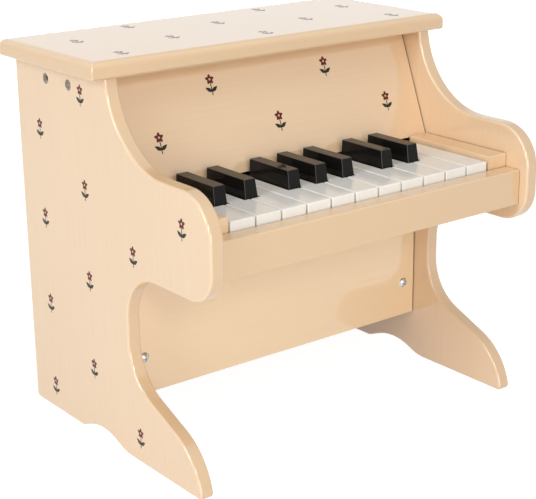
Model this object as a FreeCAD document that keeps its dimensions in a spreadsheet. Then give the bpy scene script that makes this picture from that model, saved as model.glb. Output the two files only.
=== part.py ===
"""Toy upright piano with eighteen keys: lacquered case, levered keys, pivoted hammers and metal tone bars.

Frame: +X to the player's right, +Y to the back, +Z up. The origin is on the floor, midway in X and Y.
"""
import FreeCAD, Part
import os
import re
import Sketcher
from FreeCAD import Rotation, Vector

X_AXIS = Vector(1, 0, 0)
Y_AXIS = Vector(0, 1, 0)
QUARTER_TURN = 90

# Driving dimensions, in millimetres and degrees. Setbacks count from the front of the arms towards the back.
DRIVING = [
    # Keys
    ("white_keys", 11),
    ("key_pitch", 20.8),
    ("key_gap", 1.3),
    ("key_height", 14.0),
    ("key_top_height", 183.0),
    ("key_edge_round", 0.8),
    ("key_dip", 6.0),
    ("top_key_cover", 17.0),
    ("black_setback", 34.6),
    ("black_front_gap", 1.2),
    ("black_stick_drop", 1.0),
    ("cap_rear_gap", 3.8),
    ("cap_height", 12.2),
    ("cap_base_width", 10.4),
    ("cap_top_width", 9.1),
    ("cap_front_lean", 2.3),
    ("cap_edge_round", 0.4),
    ("balance_cover", 25.9),
    ("balance_lift", 5.5),
    ("tail_margin", 3.0),
    ("post_width", 6.0),
    ("post_depth", 5.0),
    ("post_clearance", 0.5),
    ("balance_rod_diameter", 4.0),
    ("rod_clearance", 0.06),
    ("rod_seat", 5.0),
    # Side panels
    ("side_thickness", 10.2),
    ("front_reach", 118.0),
    ("side_depth", 234.2),
    ("case_height", 262.5),
    ("arm_over_keys", 24.4),
    ("arm_depth", 71.1),
    ("nose_top_radius", 30.0),
    ("nose_low_radius", 24.0),
    ("sweep_setback", 52.5),
    ("shoulder_setback", 114.1),
    ("neck_setback", 99.0),
    ("hollow_share", 0.45),
    ("neck_share", 0.212),
    ("toe_setback", 16.7),
    ("toe_radius", 48.0),
    ("toe_rise", 3.0),
    ("toe_drop", 6.5),
    ("toe_slope", 22.5),
    ("arch_setback", 102.0),
    ("arch_length", 66.1),
    ("arch_height", 7.8),
    ("arch_slope", 21.0),
    ("arch_front_round", 36.7),
    ("arch_rear_round", 5.0),
    ("heel_round", 4.0),
    ("side_edge_round", 1.7),
    # Key slip, key blocks and key bed
    ("slip_setback", 7.4),
    ("slip_thickness", 13.0),
    ("slip_gap", 0.7),
    ("slip_height", 25.5),
    ("slip_edge_round", 1.5),
    ("key_over_slip", 6.7),
    ("block_width", 18.2),
    ("block_gap", 1.2),
    ("block_over_keys", 3.4),
    ("block_edge_round", 1.2),
    ("seam_gap", 0.3),
    ("bed_thickness", 9.0),
    # Felts and rail under the keys
    ("rest_clearance", 0.3),
    ("stop_felt_thickness", 1.9),
    ("stop_felt_width", 12.0),
    ("stop_felt_inset", 3.0),
    ("rest_rail_gap", 13.0),
    ("rest_rail_width", 16.0),
    ("rest_felt_thickness", 1.9),
    # Desk panel, lower panel and back panel
    ("desk_setback", 104.1),
    ("desk_lift", 2.1),
    ("desk_lean", 21.3),
    ("desk_thickness", 7.0),
    ("panel_end_gap", 0.85),
    ("lower_panel_setback", 114.5),
    ("lower_panel_thickness", 5.0),
    ("lower_panel_lift", 36.9),
    ("cleat_width", 22.0),
    ("cleat_depth", 12.0),
    ("cleat_lift", 5.0),
    ("cleat_top_gap", 25.9),
    ("panel_screw_inset", 11.7),
    ("panel_screw_lift", 26.9),
    ("back_thickness", 4.0),
    ("back_recess", 2.6),
    ("back_screw_inset", 30.0),
    # Top board
    ("top_thickness", 12.0),
    ("top_overhang", 11.0),
    ("top_setback", 110.4),
    ("top_rear_overhang", 1.8),
    ("top_edge_round", 5.5),
    ("top_lower_round", 2.0),
    ("top_corner_round", 1.0),
    # Hammers
    ("hammer_rod_diameter", 3.0),
    ("hammer_back_gap", 11.6),
    ("hammer_heel", 12.0),
    ("hammer_rod_share", 0.564),
    ("hammer_width", 7.5),
    ("hammer_hub_radius", 4.5),
    ("hammer_head_length", 8.0),
    ("hammer_head_share", 0.486),
    ("hammer_arm_share", 0.5),
    ("hammer_head_round", 2.5),
    ("strike_gap", 0.6),
    # Tone bars and the rails that carry them
    ("strike_share", 0.402),
    ("tone_rail_drop", 11.0),
    ("tone_rail_width", 10.0),
    ("tone_rail_height", 12.0),
    ("bass_node_share", 0.353),
    ("treble_node_share", 0.233),
    ("tone_felt_thickness", 2.0),
    ("tone_felt_width", 6.0),
    ("bar_thickness", 2.5),
    ("bar_width", 9.0),
    ("bar_node_share", 0.224),
    ("bar_hole_clearance", 0.3),
    ("pin_diameter", 2.0),
    ("pin_head_diameter", 4.4),
    ("pin_head_height", 1.2),
    ("pin_grip", 7.0),
    # Screws
    ("screw_clearance", 0.05),
    ("rail_screw_diameter", 4.0),
    ("rail_screw_head", 7.6),
    ("rail_screw_head_height", 0.8),
    ("rail_screw_grip", 16.0),
    ("panel_screw_diameter", 3.0),
    ("panel_screw_head", 8.0),
    ("panel_screw_head_height", 2.4),
    ("panel_screw_grip", 9.0),
    ("back_screw_diameter", 3.0),
    ("back_screw_head", 6.0),
    ("back_screw_head_height", 2.0),
    ("back_screw_grip", 12.0),
    ("recess_length_share", 0.6),
    ("recess_width_share", 0.14),
    ("recess_depth_share", 0.5),
]

# Values worked out from the driving dimensions.
DERIVED = [
    ("keyboard_left", "-white_keys * key_pitch / 2"),
    ("inner_half", "white_keys * key_pitch / 2 + block_gap + block_width"),
    ("side_outer", "inner_half + side_thickness"),
    ("arm_front", "-front_reach"),
    ("side_rear", "arm_front + side_depth"),
    ("desk_y", "arm_front + desk_setback"),
    ("arm_top", "key_top_height + arm_over_keys"),
    ("arm_under", "arm_top - arm_depth"),
    ("neck_y", "arm_front + neck_setback"),
    ("toe_y", "arm_front + toe_setback"),
    ("sweep_y", "arm_front + sweep_setback"),
    ("shoulder_y", "arm_front + shoulder_setback"),
    ("sweep_rise", "case_height - arm_top"),
    ("sweep_radius", "((shoulder_y - sweep_y)^2 + sweep_rise^2) / (2 * sweep_rise)"),
    ("toe_bend_y", "toe_y + toe_radius * (1 - sin(toe_slope))"),
    ("toe_bend_z", "toe_radius * cos(toe_slope) - toe_drop"),
    ("toe_front", "toe_y + toe_radius - sqrt(toe_radius^2 - (toe_rise + toe_drop)^2)"),
    ("leg_room", "arm_under - toe_bend_z - (neck_y - toe_bend_y) * tan(toe_slope)"),
    ("hollow_radius", "leg_room * hollow_share"),
    ("neck_top", "arm_under - hollow_radius"),
    ("neck_low", "neck_top - leg_room * neck_share"),
    ("foot_room", "leg_room * (1 - hollow_share - neck_share)"),
    ("foot_radius", "foot_room * cos(toe_slope) / (1 - sin(toe_slope))"),
    ("foot_bend_y", "neck_y - foot_radius * (1 - sin(toe_slope))"),
    ("foot_bend_z", "neck_low - foot_radius * cos(toe_slope)"),
    ("arch_y", "arm_front + arch_setback"),
    ("arch_end", "arch_y + arch_length"),
    ("arch_foot", "arch_y + arch_front_round * tan(arch_slope / 2)"),
    ("arch_heel", "arch_end - arch_rear_round * tan(arch_slope / 2)"),
    ("arch_middle", "(arch_foot + arch_heel) / 2"),
    ("arch_peak", "(arch_heel - arch_foot) / 2 * tan(arch_slope)"),
    ("crest_radius", "(arch_peak - arch_height) / (1 / cos(arch_slope) - 1)"),
    ("crest_half", "crest_radius * sin(arch_slope)"),
    ("crest_spring", "arch_height - crest_radius * (1 - cos(arch_slope))"),
    ("slip_front", "arm_front + slip_setback"),
    ("slip_back", "slip_front + slip_thickness"),
    ("slip_top", "key_top_height - key_over_slip"),
    ("slip_bottom", "slip_top - slip_height"),
    ("key_front", "slip_back + slip_gap"),
    ("key_bottom", "key_top_height - key_height"),
    ("rest_rail_top", "key_bottom - rest_clearance - rest_felt_thickness"),
    ("stop_felt_top", "key_bottom - key_dip - rest_clearance"),
    ("bed_top", "stop_felt_top - stop_felt_thickness"),
    ("bed_bottom", "bed_top - bed_thickness"),
    ("block_length", "desk_y - panel_end_gap - key_front"),
    ("block_height", "key_top_height + block_over_keys - bed_top"),
    ("balance_y", "desk_y + balance_cover"),
    ("balance_z", "key_bottom + balance_lift"),
    ("black_front", "key_front + black_setback"),
    ("key_head_length", "black_setback - black_front_gap"),
    ("cap_length", "desk_y - cap_rear_gap - black_front"),
    ("top_key_length", "desk_y + top_key_cover - key_front"),
    ("black_top", "key_top_height - black_stick_drop"),
    ("cap_rise", "cap_height + black_stick_drop"),
    ("low_slot", "3 * key_pitch / 5"),
    ("high_slot", "4 * key_pitch / 7"),
    ("desk_bottom", "key_top_height + desk_lift"),
    ("desk_run", "(case_height - desk_bottom) * tan(desk_lean)"),
    ("desk_level_thickness", "desk_thickness / cos(desk_lean)"),
    ("panel_length", "2 * (inner_half - panel_end_gap)"),
    ("lower_panel_y", "arm_front + lower_panel_setback"),
    ("lower_panel_back", "lower_panel_y + lower_panel_thickness"),
    ("panel_screw_x", "inner_half - panel_screw_inset"),
    ("panel_screw_z", "lower_panel_lift + panel_screw_lift"),
    ("back_rear", "side_rear - back_recess"),
    ("back_front", "back_rear - back_thickness"),
    ("top_front", "arm_front + top_setback"),
    ("tone_rail_z", "case_height - tone_rail_drop"),
    ("tone_rail_bottom", "tone_rail_z - tone_rail_height / 2"),
    ("bar_top", "tone_rail_bottom - tone_felt_thickness"),
    ("bar_bottom", "bar_top - bar_thickness"),
    ("hammer_y", "back_front - hammer_back_gap"),
    ("post_back", "hammer_y - hammer_heel"),
    ("tail_end", "post_back + tail_margin"),
    ("desk_crest", "desk_y + desk_level_thickness + desk_run"),
    ("action_depth", "back_front - desk_crest"),
    ("strike_y", "desk_crest + action_depth * strike_share"),
    ("bass_node_spacing", "action_depth * bass_node_share"),
    ("treble_node_spacing", "action_depth * treble_node_share"),
    ("hammer_z", "key_top_height + (bar_bottom - key_top_height) * hammer_rod_share"),
    ("hammer_run", "hammer_y - strike_y"),
    ("hammer_rise", "bar_bottom - strike_gap - hammer_z"),
    ("hammer_head_height", "hammer_rise * hammer_head_share"),
    ("hammer_arm_thickness", "hammer_head_height * hammer_arm_share"),
    ("hammer_reach", "sqrt(hammer_run^2 + hammer_rise^2 - hammer_head_height^2)"),
    ("hammer_head_wall", "hammer_head_height - hammer_arm_thickness / 2"),
    ("post_top", "hammer_z - hammer_arm_thickness / 2 - post_clearance"),
    ("rest_rail_y", "post_back - post_depth - rest_rail_gap - rest_rail_width"),
    ("cleat_height", "bed_bottom - cleat_top_gap - lower_panel_lift - cleat_lift"),
    ("bar_hole_radius", "pin_diameter / 2 + bar_hole_clearance"),
    ("pin_hole_radius", "pin_diameter / 2 + screw_clearance"),
    ("node_taper", "(treble_node_spacing - bass_node_spacing) / (2 * inner_half)"),
    ("rail_screw_length", "side_thickness + rail_screw_grip"),
    ("panel_screw_length", "lower_panel_thickness + panel_screw_grip"),
    ("back_screw_length", "back_thickness + back_screw_grip"),
]

doc = FreeCAD.newDocument("toy_piano")
sizes = doc.addObject("Spreadsheet::Sheet", "sizes")
worked = doc.addObject("Spreadsheet::Sheet", "worked")
for row, (alias, amount) in enumerate(DRIVING, start=1):
    sizes.set(f"A{row}", alias)
    sizes.set(f"B{row}", str(amount))
    sizes.setAlias(f"B{row}", alias)
for row, (alias, formula) in enumerate(DERIVED, start=1):
    sizes.set(f"C{row}", alias)
    sizes.set(f"D{row}", "=" + formula)
    sizes.setAlias(f"D{row}", alias)
doc.recompute()

ALIASES = {alias for alias, _ in DRIVING + DERIVED}
pieces = []


def linked(formula):
    """A formula in named sizes, with each name pointed at the sheet."""
    return re.sub(r"[a-z]\w*", lambda word: "sizes." + word[0] if word[0] in ALIASES else word[0], formula)


def bind(item, **formulas):
    """Ties properties of a document object to formulas in named sizes; x, y and z are its place."""
    for name, formula in formulas.items():
        path = f"Placement.Base.{name}" if name in ("x", "y", "z") else name
        item.setExpression(path, linked(formula))
    return item


def value(formula):
    """The number that a formula in named sizes gives now."""
    worked.set("A1", "=" + linked(formula))
    worked.recompute()
    return float(worked.get("A1"))


def piece(item, label):
    """Names a finished sub-part and puts it on the list to be written."""
    item.Label = label
    pieces.append(item)
    return item


def body(label, **place):
    """An empty body of its own for one sub-part."""
    return piece(bind(doc.addObject("PartDesign::Body", label), **place), label)


def box(owner, **formulas):
    """A block added to a body: Length, Width and Height from its low corner x, y, z."""
    return bind(owner.newObject("PartDesign::AdditiveBox", "block"), **formulas)


def board(label, x, y, z, **formulas):
    """A plain rectangular board as a sub-part."""
    owner = body(label, x=x, y=y, z=z)
    box(owner, **formulas)
    return owner


def rod_bore(owner, x, y, z, diameter, length):
    """A hole along X with running clearance for a rod."""
    bore = owner.newObject("PartDesign::SubtractiveCylinder", "bore")
    bore.Placement.Rotation = Rotation(Y_AXIS, QUARTER_TURN)
    bind(bore, x=x, y=y, z=z, Radius=f"{diameter} / 2 + rod_clearance", Height=length)


def outline(owner, plane, corners, **offset):
    """A closed sketch. A corner is (across, up), or (across, up, radius, side) where an arc leaves it.

    The side tells where the arc's centre lies as the outline is followed.
    """
    sketch = owner.newObject("Sketcher::SketchObject", "outline")
    sketch.AttachmentSupport = [(next(f for f in owner.Origin.OriginFeatures if f.Role == plane), "")]
    sketch.MapMode = "FlatFace"
    for axis, formula in offset.items():
        sketch.setExpression(f"AttachmentOffset.Base.{axis}", linked(formula))
    places = [Vector(value(corner[0]), value(corner[1]), 0) for corner in corners]
    starts = []
    ends = []
    for index, corner in enumerate(corners):
        start = places[index]
        end = places[(index + 1) % len(places)]
        if len(corner) == 2:
            sketch.addGeometry(Part.LineSegment(start, end), False)
            starts.append(1)
            ends.append(2)
            continue
        radius = value(corner[2])
        chord = end - start
        middle = (start + end) / 2
        normal = Vector(-chord.y, chord.x, 0).normalize() * (1 if corner[3] == "left" else -1)
        centre = middle + normal * (radius ** 2 - chord.Length ** 2 / 4) ** 0.5
        crown = centre - normal * radius
        anticlockwise = corner[3] == "left"
        arc = Part.Arc(start, crown, end) if anticlockwise else Part.Arc(end, crown, start)
        sketch.addGeometry(arc, False)
        starts.append(1 if anticlockwise else 2)
        ends.append(2 if anticlockwise else 1)
        count = sketch.addConstraint(Sketcher.Constraint("Radius", index, radius))
        sketch.setExpression(f"Constraints[{count}]", linked(corner[2]))
    for index, corner in enumerate(corners):
        following = (index + 1) % len(corners)
        joined = (index, ends[index], following, starts[following])
        sketch.addConstraint(Sketcher.Constraint("Coincident", *joined))
        for kind, formula, number in zip(("DistanceX", "DistanceY"), corner, places[index]):
            count = sketch.addConstraint(Sketcher.Constraint(kind, -1, 1, index, starts[index], number))
            sketch.setExpression(f"Constraints[{count}]", linked(formula))
    return sketch


def pad(owner, sketch, length, sides="One side"):
    """Thickens a sketch into a solid."""
    solid = owner.newObject("PartDesign::Pad", "pad")
    solid.Profile = sketch
    solid.SideType = sides
    return bind(solid, Length=length)


def round_edges(owner, radius, wanted):
    """Rounds the edges of a body that the test picks, from the two ends and the middle of each edge."""
    doc.recompute()
    base = owner.Tip
    names = []
    for number, edge in enumerate(base.Shape.Edges, start=1):
        places = [vertex.Point for vertex in edge.Vertexes] + [edge.CenterOfMass]
        if not edge.isClosed() and wanted(places):
            names.append(f"Edge{number}")
    fillet = owner.newObject("PartDesign::Fillet", "rounding")
    fillet.Base = (base, names)
    bind(fillet, Radius=radius)


def near(number, target):
    """True where two places agree, to a thousandth of a key's pitch."""
    return abs(number - target) < sizes.key_pitch / 1000


def cylinder(x, y, z, radius, height, axis=None):
    """A loose cylinder along Z, or turned about an axis by a quarter turn."""
    item = doc.addObject("Part::Cylinder", "cylinder")
    if axis:
        item.Placement.Rotation = Rotation(axis, QUARTER_TURN)
    return bind(item, x=x, y=y, z=z, Radius=radius, Height=height)


def group(label, items):
    """Identical small pieces that share one node."""
    compound = doc.addObject("Part::Compound", label)
    compound.Links = items
    return piece(compound, label)


def cut(base, tools):
    """One solid less several others."""
    cutters = doc.addObject("Part::Compound", "cutters")
    cutters.Links = tools
    result = doc.addObject("Part::Cut", "cut")
    result.Base = base
    result.Tool = cutters
    return result


def screw(kind, rotation, x, y, z):
    """A dome-headed screw with a cross recess. Its head sits on the face at x, y, z and its shank runs in."""
    head = cylinder("0", "0", "0", f"{kind}_head / 2", f"{kind}_head_height")
    crown_radius = f"(({kind}_head / 2)^2 + {kind}_head_height^2) / (2 * {kind}_head_height)"
    crown = doc.addObject("Part::Sphere", "crown")
    bind(crown, Radius=crown_radius, z=f"{kind}_head_height - {crown_radius}")
    dome = doc.addObject("Part::Common", "dome")
    dome.Base = head
    dome.Tool = crown
    shank = cylinder("0", "0", f"-{kind}_length", f"{kind}_diameter / 2", f"{kind}_length")
    blank = doc.addObject("Part::Fuse", "blank")
    blank.Base = dome
    blank.Tool = shank
    long_side = f"{kind}_head * recess_length_share"
    short_side = f"{kind}_head * recess_width_share"
    recesses = []
    for length, width in ((long_side, short_side), (short_side, long_side)):
        recess = doc.addObject("Part::Box", "recess")
        bind(recess, Length=length, Width=width, Height=f"{kind}_head_height",
             x=f"-{length} / 2", y=f"-{width} / 2", z=f"{kind}_head_height * (1 - recess_depth_share)")
        recesses.append(recess)
    finished = cut(blank, recesses)
    finished.Placement.Rotation = rotation
    return bind(finished, x=x, y=y, z=z)


# Notes from left to right: two groups of sticks per octave, each group sharing its white keys' width evenly.
LOW_NOTES = ("c", "c_sharp", "d", "d_sharp", "e")
HIGH_NOTES = ("f", "f_sharp", "g", "g_sharp", "a", "a_sharp", "b")
notes = []
for octave, first_white, names, slot in ((1, 0, LOW_NOTES, "low_slot"), (1, 3, HIGH_NOTES, "high_slot"),
                                         (2, 7, LOW_NOTES, "low_slot"), (2, 10, HIGH_NOTES[:1], "high_slot")):
    white = first_white
    for place, name in enumerate(names):
        centre = f"keyboard_left + {first_white} * key_pitch + ({place} + 1 / 2) * {slot}"
        black = name.endswith("sharp")
        notes.append({"name": f"{name[0]}{octave}{name[1:]}", "slot": slot, "centre": centre,
                      "white": None if black else white})
        white += 0 if black else 1
top_note = notes[-1]["name"]

# Side panels: sawn boards with a swept shoulder, an arm, a hollowed neck, a toe and an arch between the feet.
SIDE_CORNERS = [
    ("side_rear", "heel_round"),
    ("side_rear", "case_height"),
    ("shoulder_y", "case_height", "sweep_radius", "right"),
    ("sweep_y", "arm_top"),
    ("arm_front + nose_top_radius", "arm_top", "nose_top_radius", "left"),
    ("arm_front", "arm_top - nose_top_radius"),
    ("arm_front", "arm_under + nose_low_radius", "nose_low_radius", "left"),
    ("arm_front + nose_low_radius", "arm_under"),
    ("neck_y - hollow_radius", "arm_under", "hollow_radius", "right"),
    ("neck_y", "neck_top"),
    ("neck_y", "neck_low", "foot_radius", "right"),
    ("foot_bend_y", "foot_bend_z"),
    ("toe_bend_y", "toe_bend_z", "toe_radius", "left"),
    ("toe_front", "toe_rise", "toe_rise", "left"),
    ("toe_front + toe_rise", "0"),
    ("arch_y", "0", "arch_front_round", "left"),
    ("arch_y + arch_front_round * sin(arch_slope)", "arch_front_round * (1 - cos(arch_slope))"),
    ("arch_middle - crest_half", "crest_spring", "crest_radius", "right"),
    ("arch_middle + crest_half", "crest_spring"),
    ("arch_end - arch_rear_round * sin(arch_slope)", "arch_rear_round * (1 - cos(arch_slope))",
     "arch_rear_round", "left"),
    ("arch_end", "0"),
    ("side_rear - heel_round", "0", "heel_round", "left"),
]
for hand, left_face, inner_face, spacing in (("left", "-side_outer", "side_thickness", "bass_node_spacing"),
                                             ("right", "inner_half", "0", "treble_node_spacing")):
    side = body(f"side_panel_{hand}", x=left_face)
    pad(side, outline(side, "YZ_Plane", SIDE_CORNERS), "side_thickness")
    round_edges(side, "side_edge_round", lambda ends: near(ends[0].x, ends[1].x)
                and not all(near(end.z, sizes.case_height) for end in ends))
    seat_start = "side_thickness - rod_seat" if hand == "left" else "0"
    rod_bore(side, seat_start, "balance_y", "balance_z", "balance_rod_diameter", "rod_seat")
    rod_bore(side, seat_start, "hammer_y", "hammer_z", "hammer_rod_diameter", "rod_seat")
    for sign in ("-", "+"):
        hole = side.newObject("PartDesign::SubtractiveCylinder", "screw_hole")
        hole.Placement.Rotation = Rotation(Y_AXIS, QUARTER_TURN)
        bind(hole, y=f"strike_y {sign} {spacing} / 2", z="tone_rail_z", Height="side_thickness",
             Radius="rail_screw_diameter / 2 + screw_clearance")

# Top board: overhangs both sides, well rounded along its upper edges, less below and at the corners.
top = board("top_board", "-side_outer - top_overhang", "top_front", "case_height",
            Length="2 * (side_outer + top_overhang)", Width="side_rear + top_rear_overhang - top_front",
            Height="top_thickness")
round_edges(top, "top_edge_round", lambda ends: all(near(end.z, sizes.top_thickness) for end in ends))
round_edges(top, "top_lower_round", lambda ends: all(near(end.z, 0) for end in ends))
round_edges(top, "top_corner_round", lambda ends: near(ends[0].x, ends[1].x) and near(ends[0].y, ends[1].y))

# Desk panel: leans back from just above the keys to the underside of the top board.
desk = body("desk_panel", x="-inner_half + panel_end_gap")
pad(desk, outline(desk, "YZ_Plane", [
    ("desk_y", "desk_bottom"),
    ("desk_y + desk_level_thickness", "desk_bottom"),
    ("desk_y + desk_level_thickness + desk_run", "case_height"),
    ("desk_y + desk_run", "case_height"),
]), "panel_length")

# Key slip: rail in front of the keys, between the arms.
slip = board("key_slip", "-inner_half + seam_gap", "slip_front", "slip_bottom",
             Length="2 * (inner_half - seam_gap)", Width="slip_thickness", Height="slip_height")
round_edges(slip, "slip_edge_round",
            lambda ends: all(near(end.y, 0) and near(end.z, sizes.slip_height) for end in ends))

# Key bed: board that carries the keyboard, between the sides from the slip to the back panel.
board("key_bed", "-inner_half", "slip_back", "bed_bottom",
      Length="2 * inner_half", Width="back_front - slip_back", Height="bed_thickness")

# Key blocks: fill the ends of the keyboard, standing on the key bed.
for hand, left_face in (("left", "-inner_half + seam_gap"), ("right", "inner_half - block_width")):
    block = board(f"key_block_{hand}", left_face, "key_front", "bed_top",
                  Length="block_width - seam_gap", Width="block_length", Height="block_height")
    round_edges(block, "block_edge_round", lambda ends: all(near(end.z, sizes.block_height) for end in ends)
                and not all(near(end.y, sizes.block_length) for end in ends))

# Lower panel with its cleats: closes the case below the keys, set back behind the necks of the sides.
lower = board("lower_panel", "-inner_half + panel_end_gap", "lower_panel_y", "lower_panel_lift",
              Length="panel_length", Width="lower_panel_thickness", Height="bed_bottom - lower_panel_lift")
cleats = []
panel_screws = []
for sign in ("-", "+"):
    bore = lower.newObject("PartDesign::SubtractiveCylinder", "screw_hole")
    bore.Placement.Rotation = Rotation(X_AXIS, -QUARTER_TURN)
    bind(bore, x=f"inner_half - panel_end_gap {sign} panel_screw_x", z="panel_screw_lift",
         Radius="panel_screw_diameter / 2 + screw_clearance", Height="lower_panel_thickness")
    cleat = doc.addObject("Part::Box", "cleat")
    bind(cleat, x="-inner_half" if sign == "-" else "inner_half - cleat_width", y="lower_panel_back",
         z="lower_panel_lift + cleat_lift", Length="cleat_width", Width="cleat_depth", Height="cleat_height")
    pilot = cylinder(f"{sign}panel_screw_x", "lower_panel_back", "panel_screw_z",
                     "panel_screw_diameter / 2 + screw_clearance", "panel_screw_grip + screw_clearance")
    pilot.Placement.Rotation = Rotation(X_AXIS, -QUARTER_TURN)
    cleats.append(cut(cleat, [pilot]))
    panel_screws.append(screw("panel_screw", Rotation(X_AXIS, QUARTER_TURN),
                              f"{sign}panel_screw_x", "lower_panel_y", "panel_screw_z"))
group("lower_panel_cleats", cleats)
group("lower_panel_screws", panel_screws)

# Back panel: thin board let in between the sides, screwed to the rear edge of the key bed.
back = board("back_panel", "-inner_half + panel_end_gap", "back_front", "lower_panel_lift",
             Length="panel_length", Width="back_thickness", Height="case_height - lower_panel_lift")
bed = next(item for item in pieces if item.Label == "key_bed")
BACK_SCREW_SHARES = ("-1", "-1 / 3", "1 / 3", "1")
back_screws = []
for share in BACK_SCREW_SHARES:
    across = f"{share} * (inner_half - back_screw_inset)"
    for owner, x, y, z, depth in (
            (back, f"inner_half - panel_end_gap + {across}", "0",
             "bed_bottom + bed_thickness / 2 - lower_panel_lift", "back_thickness"),
            (bed, f"inner_half + {across}", "back_front - slip_back - back_screw_grip - screw_clearance",
             "bed_thickness / 2", "back_screw_grip + screw_clearance")):
        hole = owner.newObject("PartDesign::SubtractiveCylinder", "screw_hole")
        hole.Placement.Rotation = Rotation(X_AXIS, -QUARTER_TURN)
        bind(hole, x=x, y=y, z=z, Height=depth, Radius="back_screw_diameter / 2 + screw_clearance")
    back_screws.append(screw("back_screw", Rotation(X_AXIS, -QUARTER_TURN),
                             across, "back_rear", "bed_bottom + bed_thickness / 2"))
group("back_panel_screws", back_screws)

# Felt and rail under the keys: the stop felt ends the dip, the rest felt carries the tails.
board("key_stop_felt", "keyboard_left", "key_front + stop_felt_inset", "bed_top",
      Length="-2 * keyboard_left", Width="stop_felt_width", Height="stop_felt_thickness")
board("key_rest_rail", "-inner_half", "rest_rail_y", "bed_top",
      Length="2 * inner_half", Width="rest_rail_width", Height="rest_rail_top - bed_top")
board("key_rest_felt", "-inner_half", "rest_rail_y", "rest_rail_top",
      Length="2 * inner_half", Width="rest_rail_width", Height="rest_felt_thickness")

# Rods: steel rods across the case, seated in blind holes in the sides; the keys and the hammers turn on them.
for label, y, z, diameter in (("balance_rod", "balance_y", "balance_z", "balance_rod_diameter"),
                              ("hammer_rod", "hammer_y", "hammer_z", "hammer_rod_diameter")):
    half = "inner_half + rod_seat - rod_clearance"
    piece(cylinder(f"-({half})", y, z, f"{diameter} / 2", f"2 * ({half})", Y_AXIS), label)

# Tone bars: metal bars that hang under two converging rails, each pinned at its two still points.
bars = []
pins = []
pin_holes = {"front": [], "rear": []}
for note in notes:
    spacing = f"(bass_node_spacing + node_taper * ({note['centre']} + inner_half))"
    length = f"{spacing} / (1 - 2 * bar_node_share)"
    bar = doc.addObject("Part::Box", "bar")
    bind(bar, x=f"{note['centre']} - bar_width / 2", y=f"strike_y - {length} / 2", z="bar_bottom",
         Length="bar_width", Width=length, Height="bar_thickness")
    drilled = []
    for row, sign in (("front", "-"), ("rear", "+")):
        place = (note["centre"], f"strike_y {sign} {spacing} / 2")
        drilled.append(cylinder(*place, "bar_bottom", "bar_hole_radius", "bar_thickness"))
        pin_holes[row].append(cylinder(*place, "bar_top", "pin_hole_radius",
                                       "tone_felt_thickness + pin_grip + screw_clearance"))
        pin = doc.addObject("Part::Fuse", "pin")
        pin.Base = cylinder(*place, "bar_bottom", "pin_diameter / 2",
                            "bar_thickness + tone_felt_thickness + pin_grip")
        pin.Tool = cylinder(*place, "bar_bottom - pin_head_height",
                            "pin_head_diameter / 2", "pin_head_height")
        pins.append(pin)
    bars.append(cut(bar, drilled))

# Tone rails with their felts: battens between the sides, held by one screw through each side.
felts = []
rail_screws = []
for row, sign in (("front", "-"), ("rear", "+")):
    bass_y = f"strike_y {sign} bass_node_spacing / 2"
    treble_y = f"strike_y {sign} treble_node_spacing / 2"
    strips = {}
    for kind, width, z, height in (("rail", "tone_rail_width", "tone_rail_bottom", "tone_rail_height"),
                                   ("felt", "tone_felt_width", "bar_top", "tone_felt_thickness")):
        strip = bind(doc.addObject("PartDesign::Body", kind), z=z)
        pad(strip, outline(strip, "XY_Plane", [
            ("-inner_half", f"{bass_y} - {width} / 2"),
            ("inner_half", f"{treble_y} - {width} / 2"),
            ("inner_half", f"{treble_y} + {width} / 2"),
            ("-inner_half", f"{bass_y} + {width} / 2"),
        ]), height)
        strips[kind] = strip
    pilots = []
    for hand, y, angle in (("-", bass_y, -QUARTER_TURN), ("+", treble_y, QUARTER_TURN)):
        start = "-inner_half" if hand == "-" else "inner_half - rail_screw_grip - screw_clearance"
        pilots.append(cylinder(start, y, "tone_rail_z", "rail_screw_diameter / 2 + screw_clearance",
                               "rail_screw_grip + screw_clearance", Y_AXIS))
        rail_screws.append(screw("rail_screw", Rotation(Y_AXIS, angle),
                                 f"{hand}side_outer", y, "tone_rail_z"))
    piece(cut(strips["rail"], pin_holes[row] + pilots), f"tone_rail_{row}")
    felts.append(cut(strips["felt"], pin_holes[row]))
group("tone_rail_felts", felts)
group("tone_rail_screws", rail_screws)
group("tone_bars", bars)
group("tone_bar_pins", pins)

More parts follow.
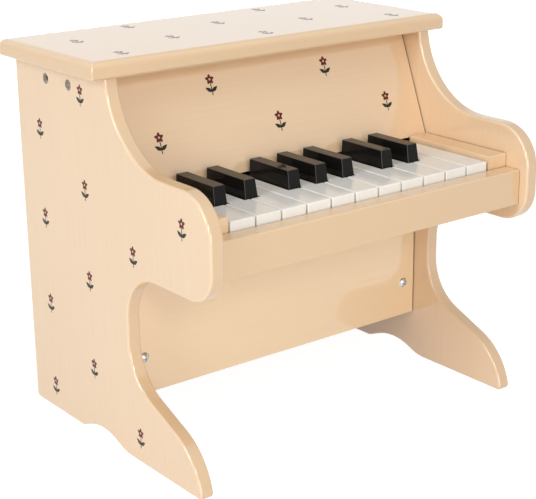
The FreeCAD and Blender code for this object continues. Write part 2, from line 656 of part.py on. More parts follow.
# Keys: wooden sticks bored for the balance rod, with a post on the tail that lifts the hammer.
for note in notes:
    slot = note["slot"]
    centre = note["centre"]
    is_white = note["white"] is not None
    key = body(f"key_{note['name']}", x=centre)
    front = "key_front" if is_white else "black_front"
    stick_top = "key_top_height" if is_white else "black_top"
    box(key, x=f"-({slot} - key_gap) / 2", y=front, z="key_bottom", Length=f"{slot} - key_gap",
        Width=f"tail_end - {front}", Height=f"{stick_top} - key_bottom")
    if is_white:
        head_left = f"keyboard_left + {note['white']} * key_pitch + key_gap / 2"
        box(key, x=f"{head_left} - ({centre})", y="key_front", z="key_bottom", Length="key_pitch - key_gap",
            Width="top_key_length" if note["name"] == top_note else "key_head_length", Height="key_height")
        round_edges(key, "key_edge_round", lambda ends: all(near(end.z, sizes.key_top_height) for end in ends)
                    or all(near(end.y, sizes.key_front) and near(end.x, ends[0].x) for end in ends))
    else:
        cap = key.newObject("PartDesign::AdditiveWedge", "cap")
        cap.Placement.Rotation = Rotation(X_AXIS, QUARTER_TURN)
        bind(cap, y="black_front + cap_length", z="black_top",
             Xmin="-cap_base_width / 2", Xmax="cap_base_width / 2", Ymin="0", Ymax="cap_rise",
             X2min="-cap_top_width / 2", X2max="cap_top_width / 2", Zmin="0", Zmax="cap_length",
             Z2min="0", Z2max="cap_length - cap_front_lean")
        crest = value("black_top + cap_rise")
        round_edges(key, "cap_edge_round", lambda ends: any(near(end.z, crest) for end in ends))
    box(key, x="-post_width / 2", y="post_back - post_depth", z=stick_top, Length="post_width",
        Width="post_depth", Height=f"post_top - {stick_top}")
    rod_bore(key, f"-{slot}", "balance_y", "balance_z", "balance_rod_diameter", f"2 * {slot}")

# Hammers: a hub on the hammer rod, an arm towards the front and an upright head under the tone bar.
for note in notes:
    hammer = body(f"hammer_{note['name']}", x=note["centre"], y="hammer_y", z="hammer_z")
    tip = "hammer_reach + hammer_head_length / 2"
    low_corner = {"x": "-hammer_width / 2", "y": f"-({tip})", "z": "-hammer_arm_thickness / 2"}
    box(hammer, **low_corner, Length="hammer_width", Width=tip, Height="hammer_arm_thickness")
    box(hammer, **low_corner, Length="hammer_width", Width="hammer_head_length",
        Height="hammer_head_height + hammer_arm_thickness / 2")
    round_edges(hammer, "min(hammer_head_round; hammer_head_wall / 2)",
                lambda ends: near(ends[0].y, ends[1].y)
                and all(near(end.z, sizes.hammer_head_height) for end in ends))
    hub = hammer.newObject("PartDesign::AdditiveCylinder", "hub")
    hub.Placement.Rotation = Rotation(Y_AXIS, QUARTER_TURN)
    bind(hub, x="-hammer_width / 2", Radius="hammer_hub_radius", Height="hammer_width")
    rod_bore(hammer, "-hammer_width", "0", "0", "hammer_rod_diameter", "2 * hammer_width")

# Every object must have come out sound before anything is written.
doc.recompute()
failed = [item.Name for item in doc.Objects if {"Invalid", "Error"} & set(item.State)]
failed += [item.Label for item in pieces if item.Shape.isNull() or not item.Shape.isValid()]
if failed:
    raise RuntimeError("not sound: " + ", ".join(failed))
os.makedirs("parts", exist_ok=True)
for item in pieces:
    item.Shape.exportStep(f"parts/{item.Label}.step")
    bounds = item.Shape.BoundBox
    print(f"{item.Label}: {len(item.Shape.Solids)} solid(s), volume {item.Shape.Volume:.1f},"
          f" x {bounds.XMin:.2f} to {bounds.XMax:.2f}, y {bounds.YMin:.2f} to {bounds.YMax:.2f},"
          f" z {bounds.ZMin:.2f} to {bounds.ZMax:.2f}")
print(f"{len(pieces)} pieces written")
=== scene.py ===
import bpy
import math
from mathutils import Matrix, Vector


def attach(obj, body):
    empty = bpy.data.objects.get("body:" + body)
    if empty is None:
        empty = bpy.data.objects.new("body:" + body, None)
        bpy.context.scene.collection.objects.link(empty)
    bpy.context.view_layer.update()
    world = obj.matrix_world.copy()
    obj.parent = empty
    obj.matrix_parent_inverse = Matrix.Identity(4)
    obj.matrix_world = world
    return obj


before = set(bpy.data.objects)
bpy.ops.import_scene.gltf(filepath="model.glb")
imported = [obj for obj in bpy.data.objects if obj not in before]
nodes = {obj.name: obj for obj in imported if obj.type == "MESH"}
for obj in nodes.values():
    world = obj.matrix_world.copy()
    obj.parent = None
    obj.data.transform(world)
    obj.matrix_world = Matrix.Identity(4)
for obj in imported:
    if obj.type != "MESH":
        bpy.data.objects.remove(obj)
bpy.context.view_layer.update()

# Side panels: two wooden boards sawn to one outline, with every edge rounded over, then sprayed cream.
# The lacquer is rubbed to a gloss and the grain barely shows; the edges are painted a shade deeper, as
# painted shade.
# All the boards but the top one are fixed between them, and brown shade is painted into the seams and
# corners.
SIDE_CREAM = (0.80, 0.578, 0.372)
SIDE_WARM = (0.785, 0.561, 0.355)
SIDE_GRAIN_AND_EDGE_SHADE = (0.705, 0.485, 0.283)
BOARD_DRIFT = 0.16
BOARD_GLOSS = (0.045, 0.085)
BOARD_SHINE = 1
BOARD_PEEL = 0.0016
GLOSS_DRIFT_SHARE = 1 / 4
WAVE_LENGTH_SHARE = 12
WAVE_HEIGHT_SHARE = 1 / 80
PEEL_HEIGHT_SHARE = 1 / 600
LACQUER_IOR = 1.5
GRAIN_WIDTH = 0.0018
GRAIN_STRETCH = 0.03
GRAIN_DETAIL = 3
GRAIN_SHARE = 0.22
# Painted shade: a dark brown laid by an occlusion node into corners and narrow gaps.
SEAM_SHADE_BROWN = (0.13, 0.072, 0.034)
SEAM_SHADE_REACH = 0.0016
SEAM_SHADE_STARTS = 0.65
SEAM_SHADE_DEEPEST = 0.25
SEAM_SHADE_SHARE = 0.8
NOISE_LOW = 0.2
NOISE_HIGH = 0.8
PLAIN_DETAIL = 2


def between(tree, share, low, high):
    """A colour that runs from low, a colour or a node's output, to high as the share runs from 0 to 1."""
    mix = tree.nodes.new("ShaderNodeMix")
    mix.data_type = "RGBA"
    mix.inputs["B"].default_value = (*high, 1)
    if isinstance(low, tuple):
        mix.inputs["A"].default_value = (*low, 1)
    else:
        tree.links.new(low, mix.inputs["A"])
    tree.links.new(share, mix.inputs["Factor"])
    return mix.outputs["Result"]


def spread(tree, share, low, high):
    """A number that runs from low to high as the share runs over the middle of a noise."""
    span = tree.nodes.new("ShaderNodeMapRange")
    span.interpolation_type = "SMOOTHSTEP"
    span.inputs["From Min"].default_value = NOISE_LOW
    span.inputs["From Max"].default_value = NOISE_HIGH
    span.inputs["To Min"].default_value = low
    span.inputs["To Max"].default_value = high
    tree.links.new(share, span.inputs["Value"])
    return span.outputs["Result"]


def speckle(tree, size, detail=PLAIN_DETAIL, stretch=(1, 1, 1)):
    """A noise in the object's own metres; the stretch draws it out along an axis where it is below 1."""
    place = tree.nodes.new("ShaderNodeTexCoord")
    scale = tree.nodes.new("ShaderNodeMapping")
    scale.inputs["Scale"].default_value = [share / size for share in stretch]
    noise = tree.nodes.new("ShaderNodeTexNoise")
    noise.inputs["Scale"].default_value = 1
    noise.inputs["Detail"].default_value = detail
    tree.links.new(place.outputs["Object"], scale.inputs["Vector"])
    tree.links.new(scale.outputs["Vector"], noise.inputs["Vector"])
    return noise.outputs["Fac"]


def raised(tree, height, depth, under=None):
    """A bump whose high parts stand up by the depth, over another bump if one is given."""
    bump = tree.nodes.new("ShaderNodeBump")
    bump.inputs["Strength"].default_value = 1
    bump.inputs["Distance"].default_value = depth
    tree.links.new(height, bump.inputs["Height"])
    if under:
        tree.links.new(under, bump.inputs["Normal"])
    return bump.outputs["Normal"]


def new_finish(name):
    """A fresh node material, with its tree and its shader."""
    material = bpy.data.materials.new(name)
    material.use_nodes = True
    return material, material.node_tree, material.node_tree.nodes["Principled BSDF"]


def turned_to(tree, *axes):
    """For each axis, how squarely the surface faces along it: one if square on, zero if edge on."""
    surface = tree.nodes.new("ShaderNodeNewGeometry")
    parts = tree.nodes.new("ShaderNodeSeparateXYZ")
    tree.links.new(surface.outputs["Normal"], parts.inputs["Vector"])
    sizes = []
    for axis in axes:
        size = tree.nodes.new("ShaderNodeMath")
        size.operation = "ABSOLUTE"
        tree.links.new(parts.outputs[axis], size.inputs[0])
        sizes.append(size.outputs[0])
    return sizes


def edge_shade_share(tree, across):
    """Painted shade share: zero on a board's face, whose axis is given, and one where its surface has turned
    away.
    """
    return spread(tree, turned_to(tree, across)[0], 1, 0)


def seam_shade_share(tree):
    """Painted shade share: zero on open faces, more in corners where boards meet, most in narrow gaps."""
    shelter = tree.nodes.new("ShaderNodeAmbientOcclusion")
    shelter.inputs["Distance"].default_value = SEAM_SHADE_REACH
    depth = tree.nodes.new("ShaderNodeMapRange")
    depth.inputs["From Min"].default_value = SEAM_SHADE_STARTS
    depth.inputs["From Max"].default_value = SEAM_SHADE_DEEPEST
    depth.inputs["To Max"].default_value = SEAM_SHADE_SHARE
    tree.links.new(shelter.outputs["AO"], depth.inputs["Value"])
    return depth.outputs["Result"]


def along_grain(grain, share):
    """A stretch that draws a noise out along the grain's axis."""
    return [share if axis == grain else 1 for axis in "XYZ"]


def lacquer(name, light, dark, drift, peel, gloss, shine, grain_and_edge_shade=None, grain=None, across=None):
    """Sprayed lacquer: a shade that drifts, a gloss that varies and a fine orange peel.

    A deeper shade, if given, shows faintly in the grain along one axis, and as painted shade on the edges of
    a board whose face axis is given. A board with a deeper shade also gets brown painted shade in its seams
    and corners.
    """
    material, tree, shader = new_finish(name)
    shade = between(tree, spread(tree, speckle(tree, drift), 0, 1), light, dark)
    if grain:
        lines = speckle(tree, GRAIN_WIDTH, GRAIN_DETAIL, along_grain(grain, GRAIN_STRETCH))
        shade = between(tree, spread(tree, lines, 0, GRAIN_SHARE), shade, grain_and_edge_shade)
    # Painted shade: faces turned away from the board's face axis are painted deeper.
    if across:
        shade = between(tree, edge_shade_share(tree, across), shade, grain_and_edge_shade)
    # Painted shade: brown is painted where the occlusion node finds the surface sheltered.
    if grain_and_edge_shade:
        shade = between(tree, seam_shade_share(tree), shade, SEAM_SHADE_BROWN)
    tree.links.new(shade, shader.inputs["Base Color"])
    patches = speckle(tree, drift * GLOSS_DRIFT_SHARE)
    tree.links.new(spread(tree, patches, *gloss), shader.inputs["Roughness"])
    waves = raised(tree, speckle(tree, peel * WAVE_LENGTH_SHARE), peel * WAVE_HEIGHT_SHARE)
    skin = raised(tree, speckle(tree, peel), peel * PEEL_HEIGHT_SHARE, waves)
    tree.links.new(skin, shader.inputs["Normal"])
    shader.inputs["IOR"].default_value = LACQUER_IOR
    shader.inputs["Specular IOR Level"].default_value = shine
    return material


def coat_nodes(material, *names):
    """Gives CAD pieces their finish."""
    for name in names:
        nodes[name].data.materials.clear()
        nodes[name].data.materials.append(material)


# Painted shade: the sides' edges are painted deeper, and brown in their seams.
cream_side = lacquer("cream_side", SIDE_CREAM, SIDE_WARM, BOARD_DRIFT, BOARD_PEEL, BOARD_GLOSS, BOARD_SHINE,
                     grain_and_edge_shade=SIDE_GRAIN_AND_EDGE_SHADE, grain="Z", across="X")
coat_nodes(cream_side, "side_panel_left", "side_panel_right")

# Key bed, key slip and key blocks: plain wooden boards glued between the sides, sprayed with them.
# The slip's upper front edge is rounded over; the blocks stand on the bed at both ends of the keyboard.
CREAM = (0.80, 0.567, 0.350)
CREAM_WARM = (0.785, 0.55, 0.333)
CREAM_GRAIN_AND_EDGE_SHADE = (0.705, 0.482, 0.275)


def cream_board(name, across=None):
    """The cream finish of the boards between the sides, whose grain runs from side to side."""
    return lacquer(name, CREAM, CREAM_WARM, BOARD_DRIFT, BOARD_PEEL, BOARD_GLOSS, BOARD_SHINE,
                   grain_and_edge_shade=CREAM_GRAIN_AND_EDGE_SHADE, grain="X", across=across)


# Painted shade: every cream board gets brown painted shade in its seams and corners.
cream_upright = cream_board("cream_upright")
# Painted shade: the flat boards' front and end faces are painted a deeper cream.
cream_flat = cream_board("cream_flat", across="Z")
coat_nodes(cream_upright, "key_bed", "key_block_left", "key_block_right")
coat_nodes(cream_flat, "key_slip")

# Lower panel: a thin wooden board set back behind the necks of the sides and screwed to its cleats.
# It stops a hair short of the sides, so a dark line runs down both ends, deepened by painted seam shade.
# It is sprayed with the rest; its cream is painted a little lighter, as painted light on the low panel.
PANEL_LIT_CREAM = (0.885, 0.660, 0.420)
PANEL_LIT_WARM = (0.87, 0.642, 0.402)
PANEL_LIT_DEEP = (0.79, 0.56, 0.33)
PANEL_DRIFT = 0.12
PANEL_GLOSS = (0.05, 0.09)
# Painted light: this lighter cream stands in for the extra light on the low panel.
cream_panel = lacquer("cream_panel", PANEL_LIT_CREAM, PANEL_LIT_WARM, PANEL_DRIFT, BOARD_PEEL, PANEL_GLOSS, BOARD_SHINE,
                      grain_and_edge_shade=PANEL_LIT_DEEP, grain="X")
coat_nodes(cream_panel, "lower_panel")

# Cleats, key rest rail and tone rails: planed softwood battens, left bare inside the case.
# The grain runs along each batten, in fine pale and dark lines.
BARE_PALE = (0.66, 0.48, 0.29)
BARE_DARK = (0.50, 0.32, 0.16)
BARE_GRAIN_WIDTH = 0.0024
BARE_GRAIN_STRETCH = 0.06
BARE_GRAIN_DETAIL = 4
BARE_GRAIN_HEIGHT = 0.00006
BARE_ROUGHNESS = (0.55, 0.75)


def bare_wood(name, along):
    """Planed softwood whose grain runs along one axis."""
    material, tree, shader = new_finish(name)
    lines = speckle(tree, BARE_GRAIN_WIDTH, BARE_GRAIN_DETAIL, along_grain(along, BARE_GRAIN_STRETCH))
    grain = spread(tree, lines, 0, 1)
    tree.links.new(between(tree, grain, BARE_PALE, BARE_DARK), shader.inputs["Base Color"])
    tree.links.new(spread(tree, grain, *BARE_ROUGHNESS), shader.inputs["Roughness"])
    tree.links.new(raised(tree, grain, BARE_GRAIN_HEIGHT), shader.inputs["Normal"])
    return material


coat_nodes(bare_wood("bare_wood_upright", "Z"), "lower_panel_cleats")
coat_nodes(bare_wood("bare_wood_across", "X"), "key_rest_rail", "tone_rail_front", "tone_rail_rear")

# Screws: pressed steel with a domed head and a cross recess, zinc plated.
# They hold the lower panel to its cleats and the back to the key bed.
# Those through the sides hold the tone rails: their heads are lower, and their zinc has stained brown.
ZINC = (0.70, 0.70, 0.69)
ZINC_DULL = (0.52, 0.53, 0.54)
ZINC_MOTTLE = 0.0012
ZINC_ROUGHNESS = (0.18, 0.32)
STAINED_PALE = (0.50, 0.44, 0.36)
STAINED_BROWN = (0.06, 0.046, 0.030)
STAINED_MOTTLE = 0.005
STAINED_ROUGHNESS = (0.2, 0.36)
MOTTLE_DETAIL = 3
PIT_SHARE = 1 / 3
PIT_HEIGHT_SHARE = 1 / 200


def metal(name, bright, dull, mottle, roughness):
    """Plated or rolled metal with a mottled sheen."""
    material, tree, shader = new_finish(name)
    patches = spread(tree, speckle(tree, mottle, MOTTLE_DETAIL), 0, 1)
    tree.links.new(between(tree, patches, bright, dull), shader.inputs["Base Color"])
    tree.links.new(spread(tree, patches, *roughness), shader.inputs["Roughness"])
    pits = raised(tree, speckle(tree, mottle * PIT_SHARE), mottle * PIT_HEIGHT_SHARE)
    tree.links.new(pits, shader.inputs["Normal"])
    shader.inputs["Metallic"].default_value = 1
    return material


zinc = metal("zinc", ZINC, ZINC_DULL, ZINC_MOTTLE, ZINC_ROUGHNESS)
stained_zinc = metal("stained_zinc", STAINED_PALE, STAINED_BROWN, STAINED_MOTTLE, STAINED_ROUGHNESS)
coat_nodes(zinc, "lower_panel_screws", "back_panel_screws")
coat_nodes(stained_zinc, "tone_rail_screws")

# Rods and pins: drawn steel wire, cut to length and pushed into blind holes.
# The keys turn on the thicker rod, the hammers on the thinner one, and the pins hang the tone bars.
STEEL = (0.6, 0.6, 0.61)
STEEL_DULL = (0.45, 0.45, 0.46)
STEEL_MOTTLE = 0.0008
STEEL_ROUGHNESS = (0.22, 0.36)
drawn_steel = metal("drawn_steel", STEEL, STEEL_DULL, STEEL_MOTTLE, STEEL_ROUGHNESS)
coat_nodes(drawn_steel, "balance_rod", "hammer_rod", "tone_bar_pins")

# Felts: strips of pressed wool, glued where wood would knock on wood and between the tone bars and rails.
# Short loose fibres give the cloth a soft, uneven face.
FELT_RED = (0.30, 0.035, 0.04)
FELT_DARK = (0.16, 0.018, 0.022)
FIBRE_SIZE = 0.0005
FIBRE_DETAIL = 5
FIBRE_HEIGHT = 0.0002
FELT_ROUGHNESS = (0.85, 1)
FELT_SHEEN = 0.4
felt, felt_tree, felt_shader = new_finish("red_felt")
fibres = spread(felt_tree, speckle(felt_tree, FIBRE_SIZE, FIBRE_DETAIL), 0, 1)
felt_tree.links.new(between(felt_tree, fibres, FELT_RED, FELT_DARK), felt_shader.inputs["Base Color"])
felt_tree.links.new(spread(felt_tree, fibres, *FELT_ROUGHNESS), felt_shader.inputs["Roughness"])
felt_tree.links.new(raised(felt_tree, fibres, FIBRE_HEIGHT), felt_shader.inputs["Normal"])
felt_shader.inputs["Sheen Weight"].default_value = FELT_SHEEN
coat_nodes(felt, "key_stop_felt", "key_rest_felt", "tone_rail_felts")

# White keys: wooden levers bored for the balance rod, dipped in white lacquer and polished.
# The grain telegraphs through as faint lines along the key.
KEY_WHITE = (0.86, 0.845, 0.795)
KEY_SHADE = (0.835, 0.815, 0.76)
WHITE_GLOSS = (0.08, 0.14)
WHITE_SHINE = 0.5
KEY_GRAIN_WIDTH = 0.0022
KEY_GRAIN_STRETCH = 0.04
KEY_GRAIN_DETAIL = 3
KEY_GRAIN_HEIGHT = 0.00001
KEY_GLOSS_DRIFT = 0.012
KEY_PEEL = 0.0012
KEY_PEEL_HEIGHT = 0.000005
EDGE_HIGHLIGHT_STARTS = 0.97
EDGE_HIGHLIGHT_FULL = 0.90


def edge_highlights(tree, shade, pale):
    """Paints a paler shade, as a painted highlight, where the surface turns from one face of a key to the
    next.
    """
    squareness, *others = turned_to(tree, *"XYZ")
    for other in others:
        larger = tree.nodes.new("ShaderNodeMath")
        larger.operation = "MAXIMUM"
        tree.links.new(squareness, larger.inputs[0])
        tree.links.new(other, larger.inputs[1])
        squareness = larger.outputs[0]
    turned = tree.nodes.new("ShaderNodeMapRange")
    turned.inputs["From Min"].default_value = EDGE_HIGHLIGHT_STARTS
    turned.inputs["From Max"].default_value = EDGE_HIGHLIGHT_FULL
    tree.links.new(squareness, turned.inputs["Value"])
    return between(tree, turned.outputs["Result"], shade, pale)


def dipped_key(name, light, dark, gloss, shine, edge=None):
    """Lacquered key whose grain shows faintly along its length."""
    material, tree, shader = new_finish(name)
    lines = speckle(tree, KEY_GRAIN_WIDTH, KEY_GRAIN_DETAIL, along_grain("Y", KEY_GRAIN_STRETCH))
    grain = spread(tree, lines, 0, 1)
    shade = between(tree, grain, light, dark)
    # Painted highlight: the edges, where given, are painted paler.
    if edge:
        shade = edge_highlights(tree, shade, edge)
    tree.links.new(shade, shader.inputs["Base Color"])
    tree.links.new(spread(tree, speckle(tree, KEY_GLOSS_DRIFT), *gloss), shader.inputs["Roughness"])
    waves = raised(tree, grain, KEY_GRAIN_HEIGHT)
    tree.links.new(raised(tree, speckle(tree, KEY_PEEL), KEY_PEEL_HEIGHT, waves), shader.inputs["Normal"])
    shader.inputs["Specular IOR Level"].default_value = shine
    return material


white_keys = [name for name in nodes if name.startswith("key_") and len(name) == len("key_c1")]
white_lacquer = dipped_key("white_lacquer", KEY_WHITE, KEY_SHADE, WHITE_GLOSS, WHITE_SHINE)
coat_nodes(white_lacquer, *white_keys)

# Black keys: the same wooden levers, with a tapered cap glued on in front of the desk panel, dipped in black.
# The lacquer is glossy, with a faint brown cast where it lies thin; its edges are painted paler, as painted
# highlights.
KEY_BLACK = (0.006, 0.006, 0.006)
KEY_BROWN = (0.010, 0.0085, 0.007)
# Painted highlight: the pale colour painted along the black keys' edges.
KEY_EDGE_HIGHLIGHT = (0.085, 0.075, 0.066)
BLACK_GLOSS = (0.06, 0.10)
BLACK_SHINE = 0.14
black_keys = [name for name in nodes if name.startswith("key_") and name.endswith("sharp")]
black_lacquer = dipped_key("black_lacquer", KEY_BLACK, KEY_BROWN, BLACK_GLOSS, BLACK_SHINE, KEY_EDGE_HIGHLIGHT)
coat_nodes(black_lacquer, *black_keys)

# Tone bars: strips of bright rolled metal, each drilled at its two still points.
# They hang under the rails, and a hammer strikes the middle of each from below.
TONE_BRIGHT = (0.74, 0.74, 0.76)
TONE_DULL = (0.6, 0.6, 0.63)
TONE_MOTTLE = 0.004
TONE_ROUGHNESS = (0.2, 0.34)
coat_nodes(metal("tone_metal", TONE_BRIGHT, TONE_DULL, TONE_MOTTLE, TONE_ROUGHNESS), "tone_bars")

# Hammers: moulded in ivory plastic, free on their rod, one under each tone bar.
# The moulding is matt, with a fine spark-eroded grain.
IVORY = (0.74, 0.70, 0.62)
IVORY_SHADE = (0.68, 0.63, 0.54)
CLOUD_SIZE = 0.01
IVORY_ROUGHNESS = (0.42, 0.55)
SPARK_SIZE = 0.0004
SPARK_HEIGHT = 0.00001
plastic, plastic_tree, plastic_shader = new_finish("hammer_plastic")
cloud = spread(plastic_tree, speckle(plastic_tree, CLOUD_SIZE), 0, 1)
sparks = raised(plastic_tree, speckle(plastic_tree, SPARK_SIZE), SPARK_HEIGHT)
ivory = between(plastic_tree, cloud, IVORY, IVORY_SHADE)
plastic_tree.links.new(ivory, plastic_shader.inputs["Base Color"])
plastic_tree.links.new(spread(plastic_tree, cloud, *IVORY_ROUGHNESS), plastic_shader.inputs["Roughness"])
plastic_tree.links.new(sparks, plastic_shader.inputs["Normal"])
coat_nodes(plastic, *[name for name in nodes if name.startswith("hammer_") and name != "hammer_rod"])

# Desk panel, back panel and top board: wooden boards that close the case, sprayed with the sides.
# The desk leans back from the keys, the back is let in between the sides, and the top overhangs both sides.
coat_nodes(cream_upright, "desk_panel", "back_panel")
# Painted shade: the top board's edges are painted deeper, as on the slip.
coat_nodes(cream_flat, "top_board")

# Printed sprigs: small generic flowers printed in three inks on the sides, the desk panel and the top.
# Each is a lobed bloom with a pale eye over a stem with two leaves, on a half-drop repeat.
# A sprig is left out where it would run off the flat of the wood or over a screw.
INK_RED = (0.115, 0.004, 0.006)
INK_RED_WORN = (0.14, 0.010, 0.012)
INK_GREEN = (0.010, 0.010, 0.002)
INK_GREEN_WORN = (0.02, 0.02, 0.007)
INK_PALE = (0.72, 0.46, 0.22)
INK_PALE_WORN = (0.66, 0.40, 0.18)
INK_THICKNESS = 0.00006
INK_DRIFT = 0.002
INK_PEEL = 0.0012
INK_GLOSS = (0.14, 0.22)
INK_SHINE = 0.3
BLOOM_RADIUS = 0.0037
BLOOM_RISE = 0.0044
BLOOM_LOBES = 5
BLOOM_CORNERS = 50
LOBE_DEPTH = 0.2
EYE_RADIUS = 0.0008
EYE_CORNERS = 16
STEM_FOOT = -0.0068
STEM_HALF = 0.00036
STEM_UNDER_BLOOM = 0.5
LEAF_LENGTH = 0.0060
LEAF_HALF = 0.00135
LEAF_ROOT = -0.0042
LEAF_TILT = math.radians(33)
LEAF_STEPS = 10
LEAF_FULLNESS = 0.8
SPRIG_HALF_WIDTH = 0.008
SPRIG_HALF_HEIGHT = 0.010
HALF_DROP = 0.25
FLAT_ENOUGH = 0.9999
RAY_START = 0.02
RAY_LENGTH = 0.1
RED, GREEN, PALE = range(3)
inks = [lacquer(name, fresh, worn, INK_DRIFT, INK_PEEL, INK_GLOSS, INK_SHINE)
        for name, fresh, worn in (("ink_red", INK_RED, INK_RED_WORN),
                                  ("ink_green", INK_GREEN, INK_GREEN_WORN),
                                  ("ink_pale", INK_PALE, INK_PALE_WORN))]


def bloom():
    """Outline of the lobed flower."""
    corners = []
    for step in range(BLOOM_CORNERS):
        angle = math.tau * step / BLOOM_CORNERS
        radius = BLOOM_RADIUS * (1 - LOBE_DEPTH + LOBE_DEPTH * math.cos(BLOOM_LOBES * angle))
        corners.append((-radius * math.sin(angle), BLOOM_RISE + radius * math.cos(angle)))
    return corners


def eye():
    """Outline of the round eye of the flower."""
    turns = [math.tau * step / EYE_CORNERS for step in range(EYE_CORNERS)]
    return [(-EYE_RADIUS * math.sin(turn), BLOOM_RISE + EYE_RADIUS * math.cos(turn)) for turn in turns]


def stem():
    """Outline of the thin stem, which ends under the flower."""
    top = BLOOM_RISE - BLOOM_RADIUS * STEM_UNDER_BLOOM
    return [(-STEM_HALF, STEM_FOOT), (STEM_HALF, STEM_FOOT), (STEM_HALF, top), (-STEM_HALF, top)]


def leaf(hand):
    """Outline of a pointed leaf on one side of the stem, out along one edge and back along the other."""
    corners = []
    for step in range(2 * LEAF_STEPS):
        along = 1 - abs(1 - step / LEAF_STEPS)
        edge = 1 if step > LEAF_STEPS else -1
        half = LEAF_HALF * math.sin(math.pi * along ** LEAF_FULLNESS) * edge
        reach = along * LEAF_LENGTH
        across = reach * math.cos(LEAF_TILT) - half * math.sin(LEAF_TILT)
        up = LEAF_ROOT + reach * math.sin(LEAF_TILT) + half * math.cos(LEAF_TILT)
        corners.append((hand * across, up))
    return corners if hand > 0 else corners[::-1]


# Each shape of the sprig has its outline, its ink and how many layers of ink thick it is.
SPRIG = [
    (stem(), GREEN, 1),
    (leaf(1), GREEN, 1),
    (leaf(-1), GREEN, 1),
    (bloom(), RED, 1),
    (eye(), PALE, 2),
]


def print_face(name, node, facing, upward, spacing, window=(0, 1, 0, 1), screws=()):
    """Prints sprigs on a flat face of a CAD piece, wherever a whole sprig finds flat wood under it.

    The window is the share of the face's own box that is printed: low and high across, low and high up.
    """
    mesh = nodes[node].data
    flat = [face for face in mesh.polygons if face.normal.dot(facing) > FLAT_ENOUGH]
    widest = max(flat, key=lambda face: face.area)
    normal = widest.normal.normalized()
    up = (upward - normal * normal.dot(upward)).normalized()
    across = up.cross(normal)
    level = widest.center.dot(normal)
    wood = [mesh.vertices[index].co for face in flat for index in face.vertices]
    points = [corner for corner in wood if abs(corner.dot(normal) - level) < INK_THICKNESS]
    low = Vector((min(p.dot(across) for p in points), min(p.dot(up) for p in points)))
    high = Vector((max(p.dot(across) for p in points), max(p.dot(up) for p in points)))
    size = high - low

    def spot(u, v, lift):
        return across * u + up * v + normal * (level + lift)

    def on_flat_wood(u, v):
        for piece in (nodes[node], *[nodes[screw] for screw in screws]):
            hit, place, _, _ = piece.ray_cast(spot(u, v, RAY_START), -normal, distance=RAY_LENGTH)
            if hit and abs(place.dot(normal) - level) > INK_THICKNESS:
                return False
            if piece is nodes[node] and not hit:
                return False
        return True

    left, right, bottom, top = window
    columns = max(1, round((right - left) * size.x / spacing[0]))
    rows = max(1, round((top - bottom) * size.y / spacing[1]))
    corners = []
    faces = []
    colours = []
    for column in range(columns):
        for row in range(rows):
            drop = HALF_DROP if column % 2 else -HALF_DROP
            u = low.x + size.x * (left + (right - left) * (column + 0.5) / columns)
            v = low.y + size.y * (bottom + (top - bottom) * (row + 0.5 + drop) / rows)
            edge = [(u + x, v + y) for x in (-SPRIG_HALF_WIDTH, 0, SPRIG_HALF_WIDTH)
                    for y in (-SPRIG_HALF_HEIGHT, 0, SPRIG_HALF_HEIGHT)]
            if not all(on_flat_wood(*place) for place in edge):
                continue
            for outline, ink, layers in SPRIG:
                under = len(corners)
                count = len(outline)
                over = under + count
                for lift in (0, INK_THICKNESS * layers):
                    corners.extend(spot(u + x, v + y, lift) for x, y in outline)
                faces.append([under + index for index in reversed(range(count))])
                faces.append([over + index for index in range(count)])
                for index in range(count):
                    after = (index + 1) % count
                    faces.append([under + index, under + after, over + after, over + index])
                colours.extend([ink] * (count + 2))
    printed = bpy.data.meshes.new(name)
    printed.from_pydata(corners, [], faces)
    for ink in inks:
        printed.materials.append(ink)
    printed.polygons.foreach_set("material_index", colours)
    printed.update()
    piece = bpy.data.objects.new(name, printed)
    bpy.context.scene.collection.objects.link(piece)
    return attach(piece, "case")


X_AXIS = Vector((1, 0, 0))
Y_AXIS = Vector((0, 1, 0))
Z_AXIS = Vector((0, 0, 1))
SIDE_SPACING = (0.056, 0.066)
DESK_SPACING = (0.050, 0.052)
DESK_WINDOW = (0.02, 0.98, 0.16, 0.96)
TOP_SPACING = (0.056, 0.062)
bpy.context.view_layer.update()
for hand, outward in (("left", -X_AXIS), ("right", X_AXIS)):
    print_face(f"print_side_{hand}", f"side_panel_{hand}", outward, Z_AXIS, SIDE_SPACING,
               screws=["tone_rail_screws"])
desk_front = max(nodes["desk_panel"].data.polygons, key=lambda face: -face.normal.y)
print_face("print_desk", "desk_panel", desk_front.normal.copy(), Z_AXIS, DESK_SPACING, DESK_WINDOW)
print_face("print_top", "top_board", Z_AXIS, Y_AXIS, TOP_SPACING)

# Floor: a pale matt sweep, bright enough to come out white behind the object and still hold its soft shadow.
# To diffuse light it is a plain pale floor, so it sends no more light up than one would.
FLOOR_SIZE = 6
FLOOR_PALE = (0.85, 0.85, 0.85, 1)
FLOOR_SHADOWED = (0.3, 0.3, 0.3, 1)
FLOOR_GLOW = 0.92
half_floor = FLOOR_SIZE / 2
floor_corners = [(-half_floor, -half_floor, 0), (half_floor, -half_floor, 0),
                 (half_floor, half_floor, 0), (-half_floor, half_floor, 0)]
floor_mesh = bpy.data.meshes.new("floor")
floor_mesh.from_pydata(floor_corners, [], [(0, 1, 2, 3)])
floor = bpy.data.objects.new("floor", floor_mesh)
bpy.context.scene.collection.objects.link(floor)
floor_paint = bpy.data.materials.new("floor_paint")
floor_paint.use_nodes = True
floor_tree = floor_paint.node_tree
floor_tree.nodes.clear()


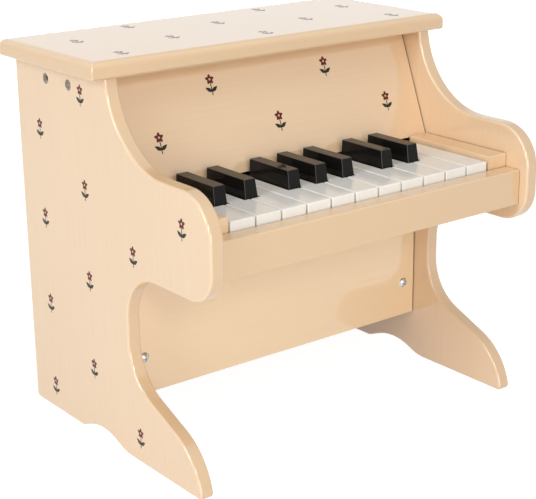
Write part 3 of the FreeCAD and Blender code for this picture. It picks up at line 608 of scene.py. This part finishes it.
def seen_directly(tree):
    """One for rays from the camera, and for those that reach it by a mirror or through glass."""
    path = tree.nodes.new("ShaderNodeLightPath")
    seen = path.outputs["Is Camera Ray"]
    for name in ("Is Glossy Ray", "Is Transmission Ray"):
        either = tree.nodes.new("ShaderNodeMath")
        either.operation = "MAXIMUM"
        tree.links.new(seen, either.inputs[0])
        tree.links.new(path.outputs[name], either.inputs[1])
        seen = either.outputs[0]
    return seen


plain = floor_tree.nodes.new("ShaderNodeBsdfDiffuse")
plain.inputs["Color"].default_value = FLOOR_PALE
shadowed = floor_tree.nodes.new("ShaderNodeBsdfDiffuse")
shadowed.inputs["Color"].default_value = FLOOR_SHADOWED
glow = floor_tree.nodes.new("ShaderNodeEmission")
glow.inputs["Strength"].default_value = FLOOR_GLOW
bright = floor_tree.nodes.new("ShaderNodeAddShader")
choice = floor_tree.nodes.new("ShaderNodeMixShader")
surface = floor_tree.nodes.new("ShaderNodeOutputMaterial")
floor_tree.links.new(shadowed.outputs[0], bright.inputs[0])
floor_tree.links.new(glow.outputs[0], bright.inputs[1])
floor_tree.links.new(seen_directly(floor_tree), choice.inputs["Fac"])
floor_tree.links.new(plain.outputs[0], choice.inputs[1])
floor_tree.links.new(bright.outputs[0], choice.inputs[2])
floor_tree.links.new(choice.outputs[0], surface.inputs["Surface"])
floor_mesh.materials.append(floor_paint)

# Studio: a pale room that lights the object evenly, with soft boxes above, in front high and low, and left.
# A low one fills the back and the right side, from under the level of the top board.
# A faint one behind stands where the top board mirrors it, and gives the lacquer there its pale sheen.
ROOM_LIGHT = 0.45
ROOM_SEEN = 1
ROOM_WHITE = (1, 1, 1, 1)
COOL = (0.94, 1, 1.07)
NEUTRAL = (1, 1, 1)
AIM = Vector((0, 0, 0.14))
MIRRORED_WAY = Vector((0.579, 0.753, 0.314))
MIRRORED_DISTANCE = 1.8
room = bpy.data.worlds.new("room")
room.use_nodes = True
bpy.context.scene.world = room
room_tree = room.node_tree
wall = room_tree.nodes["Background"]
wall.inputs["Color"].default_value = ROOM_WHITE
brightness = room_tree.nodes.new("ShaderNodeMix")
brightness.inputs["A"].default_value = ROOM_LIGHT
brightness.inputs["B"].default_value = ROOM_SEEN
room_tree.links.new(seen_directly(room_tree), brightness.inputs["Factor"])
room_tree.links.new(brightness.outputs["Result"], wall.inputs["Strength"])


def soft_lamp(name, place, size, radiance, colour=NEUTRAL):
    """A rectangular lamp turned to the object, with the brightness of its face given."""
    lamp = bpy.data.lights.new(name, "AREA")
    lamp.shape = "RECTANGLE"
    lamp.size, lamp.size_y = size
    lamp.energy = math.pi * size[0] * size[1] * radiance
    lamp.color = colour
    stand = bpy.data.objects.new(name, lamp)
    stand.location = place
    stand.rotation_euler = (AIM - Vector(place)).to_track_quat("-Z", "Y").to_euler()
    stand.visible_camera = False
    bpy.context.scene.collection.objects.link(stand)


soft_lamp("lamp_above", place=(-0.1, -0.3, 1.6), size=(1, 1), radiance=1.15)
soft_lamp("lamp_front", place=(-0.8, -1.5, 0.9), size=(0.4, 0.3), radiance=15)
soft_lamp("lamp_low", place=(-0.5, -1.6, 0.25), size=(1, 0.5), radiance=4.4)
soft_lamp("lamp_left", place=(-1.5, -0.3, 0.8), size=(0.5, 0.8), radiance=8.2, colour=COOL)
soft_lamp("lamp_back", place=(0.8, 1.4, 0.13), size=(1.2, 0.2), radiance=9)
soft_lamp("lamp_behind", place=AIM + MIRRORED_DISTANCE * MIRRORED_WAY, size=(2.4, 1), radiance=0.24,
          colour=COOL)

# Camera: stands at the front left, higher than the top board, and looks down at the middle of the object.
# Its lens is long, so the boards' edges stay close to parallel.
CAMERA_PLACE = (-0.60524, -0.77392, 0.44070)
CAMERA_YAW = math.radians(-37.566)
CAMERA_TILT = math.radians(90 - 18.27)
CAMERA_ROLL = math.radians(-0.68)
CAMERA_LENS = 94.571
CAMERA_SENSOR = 36
camera_data = bpy.data.cameras.new("camera")
camera_data.lens = CAMERA_LENS
camera_data.sensor_width = CAMERA_SENSOR
camera = bpy.data.objects.new("camera", camera_data)
yaw = Matrix.Rotation(CAMERA_YAW, 4, "Z")
tilt = Matrix.Rotation(CAMERA_TILT, 4, "X")
roll = Matrix.Rotation(CAMERA_ROLL, 4, "Z")
camera.matrix_world = Matrix.Translation(CAMERA_PLACE) @ yaw @ tilt @ roll
bpy.context.scene.collection.objects.link(camera)
bpy.context.scene.camera = camera
bpy.context.scene.view_settings.view_transform = "Standard"
